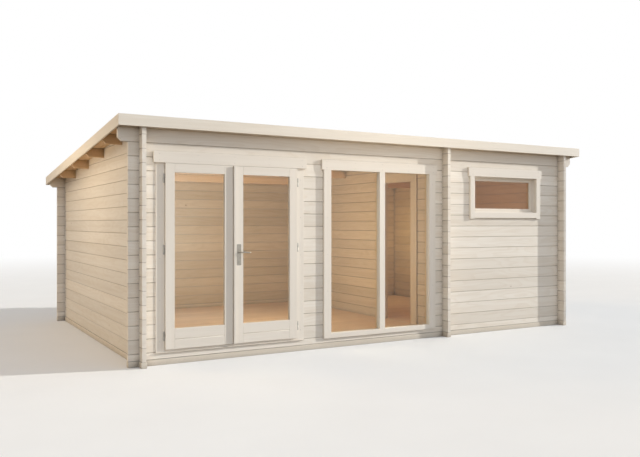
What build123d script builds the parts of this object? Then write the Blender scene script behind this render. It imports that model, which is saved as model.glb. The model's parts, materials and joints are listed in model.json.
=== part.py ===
from build123d import *
from math import ceil, cos, floor, radians, tan
import os

# Log cabin with two rooms under one single-pitch roof that is high at the front.
# Millimetres. +X runs along the front to the right, +Y to the back, +Z up. The origin is
# under the middle of the roof's plan, on the ground.

# Logs and the beams that they stand on
LOG_HEIGHT = 144
LOG_THICKNESS = 44
LOG_BEVEL = 5
LOG_OVERRUN = 112
BASE_HEIGHT = 60
BASE_LEDGE = 8
FRONT_COURSES = 15
OPENING_COURSES = 14
TOP_LOG_HEIGHT = 204
LEAST_BACK_TOP_LOG = 90

# The front from the left corner to the right corner, bare wall and openings in turn
LEFT_PIER = 170
DOOR_CASING = 92
DOOR_CLEAR = 1555
MIDDLE_PIER = 260
WINDOW_CASING = 98
WINDOW_CLEAR = 1462
RIGHT_PIER = 135
STORE_LEFT_PIER = 415
SMALL_CASING = 74
SMALL_CLEAR = 1153
STORE_RIGHT_PIER = 428

# Depth of the cabin and the doorway between its rooms
WALL_DEPTH = 4050
DOORWAY_FROM_FRONT = 630
DOORWAY_WIDTH = 700
DOORWAY_COURSES = 14

# Roof
ROOF_PITCH = 5.06
EAVE_FRONT = 145
EAVE_BACK = 145
EAVE_SIDE = 245
ROOF_BOARD = 19
COVERING = 4
FASCIA_THICKNESS = 19
FASCIA_HEIGHT = 115
BACK_FASCIA_HEIGHT = 119
FASCIA_LIP = 18
PURLIN_COUNT = 4
FIRST_PURLIN = 660
PURLIN_THICKNESS = 44
PURLIN_HEIGHT = 108
LOG_END_GAP = 11
END_CHAMFER = 40

# Floor
FLOOR_BOARD = 19
FLOOR_GAP = 5
JOIST_WIDTH = 44
JOISTS_LARGE_ROOM = 7
JOISTS_STORE = 4

# Frames that clasp the cut log ends
FRAME_WIDTH = 50
INNER_FLANGE = 16
FRAME_HEAD = 56
HEAD_BOARD_HEIGHT = 118
HEAD_BOARD_OVERHANG = 27
DOOR_CASING_THICKNESS = 8
WINDOW_CASING_THICKNESS = 28
DOOR_STOP = 15
THRESHOLD_HEIGHT = 18
NOSE_REACH = 24
NOSE_EDGE = 5
NOSE_ROOT = 14
NOSE_FALL = 3

# Door leaves
RUNNING_GAP = 5
MEETING_GAP = 6
MEETING_SHIFT = 18
LEAF_THICKNESS = 40
LEAF_PROUD = 24
STILE_WIDTH = 98
LEFT_MEETING_STILE = 95
RIGHT_MEETING_STILE = 115
TOP_RAIL = 92
BOTTOM_RAIL = 213
BOTTOM_BOARD = 100
COVER_STRIP_WIDTH = 26
COVER_STRIP_THICKNESS = 24
GLASS_THICKNESS = 4
GLASS_BITE = 10

# Hinges
HINGE_RADIUS = 8
HINGE_PIN_RADIUS = 4
HINGE_KNUCKLE = 50
HINGE_PLAY = 0.3
HINGE_TAB = 4
HINGE_TAB_HEIGHT = 24
HINGE_FROM_BOTTOM = 140
HINGE_MIDDLE = 1035
HINGE_FROM_TOP = 155

# Door handle
PLATE_WIDTH = 50
PLATE_HEIGHT = 230
PLATE_THICKNESS = 3
PLATE_GAP = 14
PLATE_BELOW_LEVER = 142
LEVER_HEIGHT = 993
LEVER_RADIUS = 8
LEVER_REACH = 48
LEVER_LENGTH = 118
LEVER_PLAY = 0.5
SPINDLE_RADIUS = 5
SPINDLE_HOLE = 9

# Large fixed window
WINDOW_BOTTOM_RAIL = 40
WINDOW_BOTTOM_APRON = 18
MULLION_WIDTH = 78
PANE_SETBACK = 20

# Small window
SMALL_COURSES = 10
SMALL_BOTTOM_RAIL = 41
SMALL_APRON = 34
SMALL_CASING_DROP = 12
SASH_GAP = 6
SASH_RAIL = 48
SASH_STILE = 64
SASH_THICKNESS = 30
SASH_SETBACK = 44
SASH_STOP = 15
SASH_STOP_DEPTH = 12

# Lining of the inner doorway
LINING_THICKNESS = 30
LINING_FLANGE = 16
LINING_COVER = 105

# Places along the front, from the left wall's outer face at left_x
WALL_LENGTH = (
    LEFT_PIER + DOOR_CLEAR + 2 * DOOR_CASING + MIDDLE_PIER + WINDOW_CLEAR + 2 * WINDOW_CASING
    + RIGHT_PIER + LOG_THICKNESS + STORE_LEFT_PIER + SMALL_CLEAR + 2 * SMALL_CASING
    + STORE_RIGHT_PIER
)
left_x = -WALL_LENGTH / 2
right_x = WALL_LENGTH / 2
door_left = left_x + LEFT_PIER + DOOR_CASING
door_right = door_left + DOOR_CLEAR
window_left = door_right + DOOR_CASING + MIDDLE_PIER + WINDOW_CASING
window_right = window_left + WINDOW_CLEAR
partition_x = window_right + WINDOW_CASING + RIGHT_PIER + LOG_THICKNESS / 2
small_left = partition_x + LOG_THICKNESS / 2 + STORE_LEFT_PIER + SMALL_CASING
small_right = small_left + SMALL_CLEAR
left_wall_x = left_x + LOG_THICKNESS / 2
right_wall_x = right_x - LOG_THICKNESS / 2
cross_walls = (left_wall_x, partition_x, right_wall_x)

# Places from front to back
roof_depth = EAVE_FRONT + WALL_DEPTH + EAVE_BACK
front_y = EAVE_FRONT - roof_depth / 2
back_y = front_y + WALL_DEPTH
front_wall_y = front_y + LOG_THICKNESS / 2
back_wall_y = back_y - LOG_THICKNESS / 2
front_inner_y = front_y + LOG_THICKNESS
back_inner_y = back_y - LOG_THICKNESS
eave_front_y = -roof_depth / 2
eave_back_y = roof_depth / 2
eave_left_x = left_x - EAVE_SIDE
eave_right_x = right_x + EAVE_SIDE
overrun_front_y = front_y - LOG_OVERRUN
overrun_back_y = back_y + LOG_OVERRUN

# Heights: long walls start with half a log, so their joints lie half a log off the others'
half_log = LOG_HEIGHT / 2
quarter_log = LOG_HEIGHT / 4
floor_top = BASE_HEIGHT + FLOOR_BOARD
slope = tan(radians(ROOF_PITCH))


def long_joint(course):
    """Height of a joint in the front and back walls."""
    return BASE_HEIGHT + half_log + course * LOG_HEIGHT


def cross_joint(course):
    """Height of a joint in the side walls and the partition."""
    return BASE_HEIGHT + course * LOG_HEIGHT


front_top_joint = long_joint(FRONT_COURSES)
opening_top = long_joint(OPENING_COURSES)
opening_bottom = long_joint(0)
roof_front_height = front_top_joint + TOP_LOG_HEIGHT


def underside(y):
    """Height of the roof boards' lower face above a place y."""
    return roof_front_height - (y - front_y) * slope


back_courses = floor((underside(back_y) - long_joint(0) - LEAST_BACK_TOP_LOG) / LOG_HEIGHT)
back_top_joint = long_joint(back_courses)
board_rise = ROOF_BOARD / cos(radians(ROOF_PITCH))
covering_rise = COVERING / cos(radians(ROOF_PITCH))
doorway_top = cross_joint(DOORWAY_COURSES)


def block(x0, x1, y0, y1, z0, z1, mode=Mode.ADD):
    """A straight board between two corners."""
    with Locations(((x0 + x1) / 2, (y0 + y1) / 2, (z0 + z1) / 2)):
        Box(x1 - x0, y1 - y0, z1 - z0, mode=mode)


def log_levels(low, high, first_joint):
    """Joint heights from low to high, both ends included."""
    first = ceil((low - first_joint) / LOG_HEIGHT + 0.01)
    last = floor((high - first_joint) / LOG_HEIGHT - 0.01)
    between = [first_joint + n * LOG_HEIGHT for n in range(first, last + 1)]
    return [low, *between, high]


def outline(plane, points):
    """Flat face with straight edges between points on a plane."""
    with BuildSketch(plane) as face:
        with BuildLine():
            Polyline(*points, close=True)
        make_face()
    return face.sketch


def disc(plane, radius):
    """Round face on a plane."""
    with BuildSketch(plane) as face:
        Circle(radius)
    return face.sketch


def log_section(plane, levels):
    """Section of a stack of logs, with their long edges bevelled."""
    half = LOG_THICKNESS / 2
    side = [(half - LOG_BEVEL, levels[0])]
    for low, high in zip(levels, levels[1:]):
        side += [(half, low + LOG_BEVEL), (half, high - LOG_BEVEL), (half - LOG_BEVEL, high)]
    other_side = [(-x, z) for x, z in reversed(side)]
    return outline(plane, side + other_side)


def long_plane(x, y):
    """Plane across a log that runs along X."""
    return Plane(origin=(x, y, 0), x_dir=(0, 1, 0), z_dir=(1, 0, 0))


def cross_plane(x, y):
    """Plane across a log that runs along Y."""
    return Plane(origin=(x, y, 0), x_dir=(-1, 0, 0), z_dir=(0, 1, 0))


def long_stack(x0, x1, y, low, high):
    """Logs along X between two heights."""
    section = log_section(long_plane(x0, y), log_levels(low, high, long_joint(0)))
    extrude(section, amount=x1 - x0)


def cross_stack(x, y0, y1, low, high):
    """Logs along Y between two heights."""
    section = log_section(cross_plane(x, y0), log_levels(low, high, cross_joint(0)))
    extrude(section, amount=y1 - y0)


# Where two walls cross, each log keeps the middle half of its height, and the crossing
# logs fill the quarters that are notched out of it above and below.
sky = roof_front_height + LOG_HEIGHT
front_long_cores = [(BASE_HEIGHT, BASE_HEIGHT + quarter_log)]
front_long_cores += [
    (long_joint(n) + quarter_log, long_joint(n) + quarter_log + half_log)
    for n in range(FRONT_COURSES + 1)
]
back_long_cores = front_long_cores[:back_courses + 1]
back_long_cores = back_long_cores + [(back_top_joint + quarter_log, sky)]


def gaps_between(cores):
    """Height spans that a list of cores leaves free."""
    spans = [(low[1], high[0]) for low, high in zip(cores, cores[1:])]
    return spans + ([(cores[-1][1], sky)] if cores[-1][1] < sky else [])


front_cross_cores = gaps_between(front_long_cores)
back_cross_cores = gaps_between(back_long_cores)
back_overrun_top = back_top_joint + half_log


def notch(wall_plane, crossings, spans, low, high):
    """Cuts a wall away at its crossings, over the spans that fall between two heights."""
    clipped = [(max(span[0], low), min(span[1], high)) for span in spans]
    with BuildSketch(wall_plane) as cuts:
        for place in crossings:
            for cut_low, cut_high in clipped:
                if cut_high > cut_low:
                    with Locations((place, (cut_low + cut_high) / 2)):
                        Rectangle(LOG_THICKNESS, cut_high - cut_low)
    extrude(cuts.sketch, amount=LOG_THICKNESS / 2, both=True, mode=Mode.SUBTRACT)


def notch_long(crossings, low, high, y=front_wall_y, spans=front_cross_cores):
    """Notches a long wall for the walls that cross it."""
    notch(Plane.XZ.offset(-y), crossings, spans, low, high)


def cut_under_roof(x):
    """Cuts a cross wall to the roof's slope."""
    above = outline(
        Plane.YZ.offset(x),
        [
            (eave_front_y, underside(eave_front_y)),
            (eave_back_y, underside(eave_back_y)),
            (eave_back_y, sky + LOG_HEIGHT),
            (eave_front_y, sky + LOG_HEIGHT),
        ],
    )
    extrude(above, amount=LOG_THICKNESS, both=True, mode=Mode.SUBTRACT)


purlin_spacing = (WALL_DEPTH - FIRST_PURLIN) / PURLIN_COUNT
purlin_fronts = [front_y + FIRST_PURLIN + n * purlin_spacing for n in range(PURLIN_COUNT)]


def purlin_section(x, y):
    """Section of a purlin with its front face at y."""
    low = underside(y) - PURLIN_HEIGHT
    rear = y + PURLIN_THICKNESS
    points = [(y, low), (rear, low), (rear, underside(rear)), (y, underside(y))]
    return outline(Plane.YZ.offset(x), points)


def cut_for_purlins(x):
    """Cuts the pockets that carry the purlins in a cross wall."""
    for y in purlin_fronts:
        section = purlin_section(x, y)
        extrude(section, amount=LOG_THICKNESS, both=True, mode=Mode.SUBTRACT)


def trim_back_end(x):
    """Ends a cross wall at the back wall's top log, over the ends of the lower logs."""
    half = LOG_THICKNESS / 2
    block(x - half, x + half, back_y, overrun_back_y, back_overrun_top, sky, Mode.SUBTRACT)


# Base beams, halved where they cross
base_half = LOG_THICKNESS / 2 + BASE_LEDGE
long_beam_x0 = left_x - LOG_OVERRUN
long_beam_x1 = right_x + LOG_OVERRUN

with BuildPart() as base_long_beams:
    for y in (front_wall_y, back_wall_y):
        block(long_beam_x0, long_beam_x1, y - base_half, y + base_half, 0, BASE_HEIGHT)
        for x in cross_walls:
            block(
                x - base_half, x + base_half, y - base_half, y + base_half,
                BASE_HEIGHT / 2, BASE_HEIGHT, Mode.SUBTRACT,
            )

with BuildPart() as base_cross_beams:
    for x in cross_walls:
        block(x - base_half, x + base_half, overrun_front_y, overrun_back_y, 0, BASE_HEIGHT)
        for y in (front_wall_y, back_wall_y):
            block(
                x - base_half, x + base_half, y - base_half, y + base_half,
                0, BASE_HEIGHT / 2, Mode.SUBTRACT,
            )

# Floor on joists
room_x0 = left_x + LOG_THICKNESS
room_x1 = partition_x - LOG_THICKNESS / 2
store_x0 = partition_x + LOG_THICKNESS / 2
store_x1 = right_x - LOG_THICKNESS
joist_y0 = front_wall_y + base_half
joist_y1 = back_wall_y - base_half


def joists(x0, x1, count):
    """Joists from front to back, evenly spread between two walls."""
    first = x0 + base_half + JOIST_WIDTH
    pitch = (x1 - x0 - 2 * (base_half + JOIST_WIDTH)) / (count - 1)
    for n in range(count):
        x = first + n * pitch
        block(x - JOIST_WIDTH / 2, x + JOIST_WIDTH / 2, joist_y0, joist_y1, 0, BASE_HEIGHT)


with BuildPart() as floor_joists:
    joists(room_x0, room_x1, JOISTS_LARGE_ROOM)
    joists(store_x0, store_x1, JOISTS_STORE)

with BuildPart() as floor_boards:
    for x0, x1 in ((room_x0, room_x1), (store_x0, store_x1)):
        block(
            x0 + FLOOR_GAP, x1 - FLOOR_GAP, front_inner_y + FLOOR_GAP, back_inner_y - FLOOR_GAP,
            BASE_HEIGHT, floor_top,
        )

# Front wall, from the log under the openings to the log under the roof
wall_end_left = left_x - LOG_OVERRUN
wall_end_right = right_x + LOG_OVERRUN
door_hole_left = door_left - FRAME_WIDTH
door_hole_right = door_right + FRAME_WIDTH
window_hole_left = window_left - FRAME_WIDTH
window_hole_right = window_right + FRAME_WIDTH
small_hole_left = small_left - FRAME_WIDTH
small_hole_right = small_right + FRAME_WIDTH
small_hole_bottom = long_joint(SMALL_COURSES)

with BuildPart() as front_sill_log:
    long_stack(wall_end_left, wall_end_right, front_wall_y, BASE_HEIGHT, opening_bottom)
    notch_long(cross_walls, BASE_HEIGHT, opening_bottom)

with BuildPart() as front_wall_left:
    long_stack(wall_end_left, door_hole_left, front_wall_y, opening_bottom, opening_top)
    notch_long([left_wall_x], opening_bottom, opening_top)

with BuildPart() as front_wall_middle:
    long_stack(door_hole_right, window_hole_left, front_wall_y, opening_bottom, opening_top)

with BuildPart() as front_wall_under_window:
    long_stack(window_hole_right, wall_end_right, front_wall_y, opening_bottom, small_hole_bottom)
    notch_long([partition_x, right_wall_x], opening_bottom, small_hole_bottom)

with BuildPart() as front_wall_beside_window:
    long_stack(window_hole_right, small_hole_left, front_wall_y, small_hole_bottom, opening_top)
    long_stack(small_hole_right, wall_end_right, front_wall_y, small_hole_bottom, opening_top)
    notch_long([partition_x, right_wall_x], small_hole_bottom, opening_top)

with BuildPart() as front_wall_over_openings:
    long_stack(wall_end_left, wall_end_right, front_wall_y, opening_top, front_top_joint)
    notch_long(cross_walls, opening_top, front_top_joint)

top_log_x0 = eave_left_x + FASCIA_THICKNESS + LOG_END_GAP
top_log_x1 = eave_right_x - FASCIA_THICKNESS - LOG_END_GAP


def top_log(y, low):
    """Log that carries the roof boards, cut to their slope, with its lower corners off."""
    half = LOG_THICKNESS / 2
    section = outline(
        long_plane(top_log_x0, y),
        [
            (-half + LOG_BEVEL, low),
            (half - LOG_BEVEL, low),
            (half, low + LOG_BEVEL),
            (half, underside(y + half)),
            (-half, underside(y - half)),
            (-half, low + LOG_BEVEL),
        ],
    )
    extrude(section, amount=top_log_x1 - top_log_x0)
    for end, inward in ((top_log_x0, END_CHAMFER), (top_log_x1, -END_CHAMFER)):
        corner = outline(
            Plane.XZ.offset(-y), [(end, low), (end + inward, low), (end, low + END_CHAMFER)]
        )
        extrude(corner, amount=LOG_THICKNESS, both=True, mode=Mode.SUBTRACT)


with BuildPart() as front_top_log:
    top_log(front_wall_y, front_top_joint)
    notch_long(cross_walls, front_top_joint, sky)

# Back wall
with BuildPart() as back_wall:
    long_stack(wall_end_left, wall_end_right, back_wall_y, BASE_HEIGHT, back_top_joint)
    notch_long(cross_walls, BASE_HEIGHT, back_top_joint, back_wall_y, back_cross_cores)

with BuildPart() as back_top_log:
    top_log(back_wall_y, back_top_joint)
    notch_long(cross_walls, back_top_joint, sky, back_wall_y, back_cross_cores)


# Side walls and partition
def cross_wall(x, y0, y1, low, high):
    """Logs along Y, notched over the long walls, under the roof and for the purlins."""
    cross_stack(x, y0, y1, low, high)
    cut_under_roof(x)
    cut_for_purlins(x)
    wall_plane = Plane.YZ.offset(x)
    if y0 < front_y:
        notch(wall_plane, [front_wall_y], front_long_cores, low, high)
    if y1 > back_y:
        notch(wall_plane, [back_wall_y], back_long_cores, low, high)
        trim_back_end(x)


wall_top = cross_joint(ceil((underside(overrun_front_y) - BASE_HEIGHT) / LOG_HEIGHT))

with BuildPart() as left_wall:
    cross_wall(left_wall_x, overrun_front_y, overrun_back_y, BASE_HEIGHT, wall_top)

with BuildPart() as right_wall:
    cross_wall(right_wall_x, overrun_front_y, overrun_back_y, BASE_HEIGHT, wall_top)

doorway_y0 = front_y + DOORWAY_FROM_FRONT
doorway_y1 = doorway_y0 + DOORWAY_WIDTH

with BuildPart() as partition_front:
    cross_wall(partition_x, overrun_front_y, doorway_y0, BASE_HEIGHT, doorway_top)

with BuildPart() as partition_back:
    cross_wall(partition_x, doorway_y1, overrun_back_y, BASE_HEIGHT, doorway_top)

with BuildPart() as partition_over:
    cross_wall(partition_x, overrun_front_y, back_inner_y, doorway_top, wall_top)

# Lining of the doorway between the rooms
lining_y0 = doorway_y0 + LINING_THICKNESS
lining_y1 = doorway_y1 - LINING_THICKNESS
lining_top = doorway_top - LINING_THICKNESS
lining_x0 = partition_x - LOG_THICKNESS / 2 - LINING_FLANGE
lining_x1 = partition_x + LOG_THICKNESS / 2 + LINING_FLANGE


def flanges(x0, x1, y0, y1, z0, z1):
    """Two cover boards, one on each face of the partition."""
    block(x0, x0 + LINING_FLANGE, y0, y1, z0, z1)
    block(x1 - LINING_FLANGE, x1, y0, y1, z0, z1)


with BuildPart() as doorway_sides:
    for y0, y1, cover in (
        (doorway_y0, lining_y0, doorway_y0 - LINING_COVER),
        (lining_y1, doorway_y1, doorway_y1 + LINING_COVER),
    ):
        block(lining_x0, lining_x1, y0, y1, floor_top, lining_top)
        flanges(lining_x0, lining_x1, min(y0, cover), max(y1, cover), floor_top, lining_top)

with BuildPart() as doorway_head_and_sill:
    block(lining_x0, lining_x1, doorway_y0, doorway_y1, lining_top, doorway_top)
    flanges(
        lining_x0, lining_x1, doorway_y0 - LINING_COVER, doorway_y1 + LINING_COVER,
        lining_top, doorway_top + LINING_COVER,
    )
    block(
        room_x1 - FLOOR_GAP, store_x0 + FLOOR_GAP, doorway_y0, doorway_y1, BASE_HEIGHT, floor_top
    )

# Purlins
purlins = []
for y in purlin_fronts:
    with BuildPart() as purlin:
        extrude(purlin_section(top_log_x0, y), amount=top_log_x1 - top_log_x0)
        chamfer(purlin.edges().filter_by(Axis.Y).group_by(Axis.Z)[0], END_CHAMFER)
    purlins.append(purlin)

# Roof boards and covering
deck_x0 = eave_left_x + FASCIA_THICKNESS
deck_x1 = eave_right_x - FASCIA_THICKNESS
deck_y0 = eave_front_y + FASCIA_THICKNESS
deck_y1 = eave_back_y - FASCIA_THICKNESS


def sloped_slab(x0, x1, low, high):
    """Slab along the roof's slope, between two heights above the boards' lower face."""
    section = outline(
        Plane.YZ.offset(x0),
        [
            (deck_y0, underside(deck_y0) + low),
            (deck_y1, underside(deck_y1) + low),
            (deck_y1, underside(deck_y1) + high),
            (deck_y0, underside(deck_y0) + high),
        ],
    )
    extrude(section, amount=x1 - x0)


with BuildPart() as roof_boards:
    sloped_slab(deck_x0, deck_x1, 0, board_rise)

with BuildPart() as roof_covering:
    sloped_slab(deck_x0, deck_x1, board_rise, board_rise + covering_rise)

# Fascia boards, whose top edges stand a little above the covering
fascia_top = board_rise + covering_rise + FASCIA_LIP
front_fascia_top = underside(eave_front_y) + fascia_top
back_fascia_top = underside(eave_back_y) + fascia_top

with BuildPart() as fascia_front:
    block(
        eave_left_x, eave_right_x, eave_front_y, deck_y0,
        front_fascia_top - FASCIA_HEIGHT, front_fascia_top,
    )

with BuildPart() as fascia_back:
    block(
        eave_left_x, eave_right_x, deck_y1, eave_back_y,
        back_fascia_top - BACK_FASCIA_HEIGHT, back_fascia_top,
    )

with BuildPart() as fascia_left:
    sloped_slab(eave_left_x, deck_x0, fascia_top - FASCIA_HEIGHT, fascia_top)

with BuildPart() as fascia_right:
    sloped_slab(deck_x1, eave_right_x, fascia_top - FASCIA_HEIGHT, fascia_top)

# Door frame
door_face_y = front_y - DOOR_CASING_THICKNESS
leaf_front_y = door_face_y - LEAF_PROUD
leaf_back_y = leaf_front_y + LEAF_THICKNESS
stop_y = leaf_back_y + RUNNING_GAP
frame_back_y = front_inner_y + INNER_FLANGE
leaf_top = opening_top - FRAME_HEAD - RUNNING_GAP
leaf_bottom = opening_bottom + THRESHOLD_HEIGHT + RUNNING_GAP
leaf_height = leaf_top - leaf_bottom
head_bottom = opening_top - FRAME_HEAD


def jamb(inner_x, side, casing, casing_thickness, low, high):
    """Upright of a frame: outer casing, body in the wall and inner flange."""
    body = sorted((inner_x, inner_x + side * FRAME_WIDTH))
    cover = sorted((inner_x, inner_x + side * casing))
    block(*body, front_y, front_inner_y, low, high)
    block(*cover, front_y - casing_thickness, front_y, low, high)
    block(*cover, front_inner_y, frame_back_y, low, high)


door_sides = ((door_left, -1), (door_right, 1))

with BuildPart() as door_jambs:
    for inner_x, side in door_sides:
        jamb(inner_x, side, DOOR_CASING, DOOR_CASING_THICKNESS, opening_bottom, head_bottom)
        stop = sorted((inner_x, inner_x - side * DOOR_STOP))
        block(*stop, stop_y, frame_back_y, opening_bottom + THRESHOLD_HEIGHT, head_bottom)

door_board_x0 = door_left - DOOR_CASING - HEAD_BOARD_OVERHANG
door_board_x1 = door_right + DOOR_CASING + HEAD_BOARD_OVERHANG
head_board_top = head_bottom + HEAD_BOARD_HEIGHT

with BuildPart() as door_frame_head:
    block(door_hole_left, door_hole_right, front_y, front_inner_y, head_bottom, opening_top)
    for y0, y1 in ((door_face_y, front_y), (front_inner_y, frame_back_y)):
        block(
            door_left - DOOR_CASING, door_right + DOOR_CASING, y0, y1, head_bottom, head_board_top
        )

with BuildPart() as door_threshold:
    block(
        door_left, door_right, door_face_y, frame_back_y,
        opening_bottom, opening_bottom + THRESHOLD_HEIGHT,
    )
    nose = outline(
        long_plane(door_left - DOOR_CASING, front_y),
        [
            (0, opening_bottom),
            (0, opening_bottom - NOSE_ROOT),
            (-NOSE_REACH, opening_bottom - NOSE_FALL - NOSE_EDGE),
            (-NOSE_REACH, opening_bottom - NOSE_FALL),
            (-DOOR_CASING_THICKNESS, opening_bottom),
        ],
    )
    extrude(nose, amount=DOOR_CLEAR + 2 * DOOR_CASING)

with BuildPart() as door_head_board:
    block(
        door_board_x0, door_board_x1, leaf_front_y, door_face_y, head_bottom, head_board_top
    )

# Door leaves, hinged on the jambs
meeting_x = (door_left + door_right) / 2 - MEETING_SHIFT
left_leaf_x0 = door_left + RUNNING_GAP
left_leaf_x1 = meeting_x - MEETING_GAP / 2
right_leaf_x0 = meeting_x + MEETING_GAP / 2
right_leaf_x1 = door_right - RUNNING_GAP
left_leaf = (
    left_leaf_x0, left_leaf_x0 + STILE_WIDTH, left_leaf_x1 - LEFT_MEETING_STILE, left_leaf_x1
)
right_leaf = (
    right_leaf_x0, right_leaf_x0 + RIGHT_MEETING_STILE, right_leaf_x1 - STILE_WIDTH, right_leaf_x1
)
glass_y0 = (leaf_front_y + leaf_back_y - GLASS_THICKNESS) / 2
glass_y1 = glass_y0 + GLASS_THICKNESS
glass_low = leaf_bottom + BOTTOM_RAIL
glass_high = leaf_top - TOP_RAIL
handle_x = right_leaf_x0 + COVER_STRIP_WIDTH + PLATE_GAP + PLATE_WIDTH / 2
lever_z = leaf_bottom + LEVER_HEIGHT


def pane(leaf, mode=Mode.ADD):
    """Glass of a leaf, which sits in grooves of the stiles and rails."""
    block(
        leaf[1] - GLASS_BITE, leaf[2] + GLASS_BITE,
        glass_y0, glass_y1, glass_low - GLASS_BITE, glass_high + GLASS_BITE, mode,
    )


def stiles(leaf):
    """Two uprights of a leaf, given by its edges and those of its glass."""
    for x0, x1 in (leaf[:2], leaf[2:]):
        block(x0, x1, leaf_front_y, leaf_back_y, leaf_bottom, leaf_top)


def rails(leaf):
    """Top rail and the two boards of the bottom panel."""
    x0, x1 = leaf[1:3]
    middle_y = (leaf_front_y + leaf_back_y) / 2
    half = LEAF_THICKNESS / 2
    block(x0, x1, leaf_front_y, leaf_back_y, glass_high, leaf_top)
    levels = (leaf_bottom, leaf_bottom + BOTTOM_BOARD, glass_low)
    section = outline(
        long_plane(x0, middle_y),
        [
            (-half, levels[0]),
            (half, levels[0]),
            (half, levels[1] - LOG_BEVEL),
            (half - LOG_BEVEL, levels[1]),
            (half, levels[1] + LOG_BEVEL),
            (half, levels[2]),
            (-half, levels[2]),
            (-half, levels[1] + LOG_BEVEL),
            (-half + LOG_BEVEL, levels[1]),
            (-half, levels[1] - LOG_BEVEL),
        ],
    )
    extrude(section, amount=x1 - x0)


def upright_plane(y):
    """Plane that faces the front, for round pieces along Y."""
    return Plane(origin=(handle_x, y, lever_z), x_dir=(1, 0, 0), z_dir=(0, 1, 0))


with BuildPart() as left_leaf_stiles:
    stiles(left_leaf)
    pane(left_leaf, Mode.SUBTRACT)

with BuildPart() as left_leaf_rails:
    rails(left_leaf)
    pane(left_leaf, Mode.SUBTRACT)

with BuildPart() as left_leaf_glass:
    pane(left_leaf)

with BuildPart() as right_leaf_stiles:
    stiles(right_leaf)
    block(
        right_leaf_x0, right_leaf_x0 + COVER_STRIP_WIDTH,
        leaf_front_y - COVER_STRIP_THICKNESS, leaf_front_y, leaf_bottom, leaf_top,
    )
    pane(right_leaf, Mode.SUBTRACT)
    spindle_hole = disc(upright_plane(leaf_front_y), SPINDLE_HOLE)
    extrude(spindle_hole, amount=LEAF_THICKNESS, mode=Mode.SUBTRACT)

with BuildPart() as right_leaf_rails:
    rails(right_leaf)
    pane(right_leaf, Mode.SUBTRACT)

with BuildPart() as right_leaf_glass:
    pane(right_leaf)

# Hinges: a pin on the frame carries the knuckle on the leaf
hinge_y = door_face_y - HINGE_RADIUS
left_hinge_x = door_left - HINGE_RADIUS
right_hinge_x = door_right + HINGE_RADIUS
hinge_heights = (
    leaf_bottom + HINGE_FROM_BOTTOM,
    leaf_bottom + HINGE_MIDDLE,
    leaf_top - HINGE_FROM_TOP,
)


def hinge_pin(x, z):
    """Lower knuckle with its pin, on the frame."""
    knuckle = disc(Plane(origin=(x, hinge_y, z - HINGE_KNUCKLE)), HINGE_RADIUS)
    extrude(knuckle, amount=HINGE_KNUCKLE - HINGE_PLAY)
    pin = disc(Plane(origin=(x, hinge_y, z - HINGE_PLAY)), HINGE_PIN_RADIUS)
    extrude(pin, amount=HINGE_KNUCKLE)


def hinge_knuckle(x, z, side):
    """Upper knuckle with its bore, on the leaf."""
    edge = sorted((x, x + side * (HINGE_RADIUS + RUNNING_GAP)))
    middle = z + HINGE_KNUCKLE / 2
    block(
        *edge, hinge_y - HINGE_TAB / 2, hinge_y + HINGE_TAB / 2,
        middle - HINGE_TAB_HEIGHT / 2, middle + HINGE_TAB_HEIGHT / 2,
    )
    seat = Plane(origin=(x, hinge_y, z))
    extrude(disc(seat, HINGE_RADIUS), amount=HINGE_KNUCKLE)
    bore = disc(seat, HINGE_PIN_RADIUS + HINGE_PLAY)
    extrude(bore, amount=HINGE_KNUCKLE, mode=Mode.SUBTRACT)


with BuildPart() as hinge_pins:
    for x in (left_hinge_x, right_hinge_x):
        for z in hinge_heights:
            hinge_pin(x, z)

with BuildPart() as left_hinge_knuckles:
    for z in hinge_heights:
        hinge_knuckle(left_hinge_x, z, 1)

with BuildPart() as right_hinge_knuckles:
    for z in hinge_heights:
        hinge_knuckle(right_hinge_x, z, -1)

# Door handle: a plate on each face and one lever on a spindle through the leaf
plate_low = lever_z - PLATE_BELOW_LEVER

with BuildPart() as handle_plates:
    for y0 in (leaf_front_y - PLATE_THICKNESS, leaf_back_y):
        block(
            handle_x - PLATE_WIDTH / 2, handle_x + PLATE_WIDTH / 2, y0, y0 + PLATE_THICKNESS,
            plate_low, plate_low + PLATE_HEIGHT,
        )
    plate_hole = disc(upright_plane(leaf_front_y - PLATE_THICKNESS), SPINDLE_RADIUS + LEVER_PLAY)
    extrude(plate_hole, amount=LEAF_THICKNESS + 2 * PLATE_THICKNESS, mode=Mode.SUBTRACT)

lever_front_y = leaf_front_y - PLATE_THICKNESS - LEVER_REACH
lever_back_y = leaf_back_y + PLATE_THICKNESS + LEVER_REACH


def grip(y):
    """Round grip of the lever."""
    across = Plane(origin=(handle_x, y, lever_z), x_dir=(0, 1, 0), z_dir=(1, 0, 0))
    extrude(disc(across, LEVER_RADIUS), amount=LEVER_LENGTH)


with BuildPart() as handle_lever:
    spindle = disc(upright_plane(lever_front_y), SPINDLE_RADIUS)
    extrude(spindle, amount=lever_back_y - lever_front_y)
    for y0, y1 in (
        (lever_front_y, leaf_front_y - PLATE_THICKNESS - LEVER_PLAY),
        (leaf_back_y + PLATE_THICKNESS + LEVER_PLAY, lever_back_y),
    ):
        extrude(disc(upright_plane(y0), LEVER_RADIUS), amount=y1 - y0)
    grip(lever_front_y)
    grip(lever_back_y)

# Large fixed window
pane_y0 = front_y + PANE_SETBACK
pane_y1 = pane_y0 + GLASS_THICKNESS
window_glass_low = opening_bottom + WINDOW_BOTTOM_RAIL
window_middle = (window_left + window_right) / 2
mullion_x0 = window_middle - MULLION_WIDTH / 2
mullion_x1 = window_middle + MULLION_WIDTH / 2
window_panes = ((window_left, mullion_x0), (mullion_x1, window_right))


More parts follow.
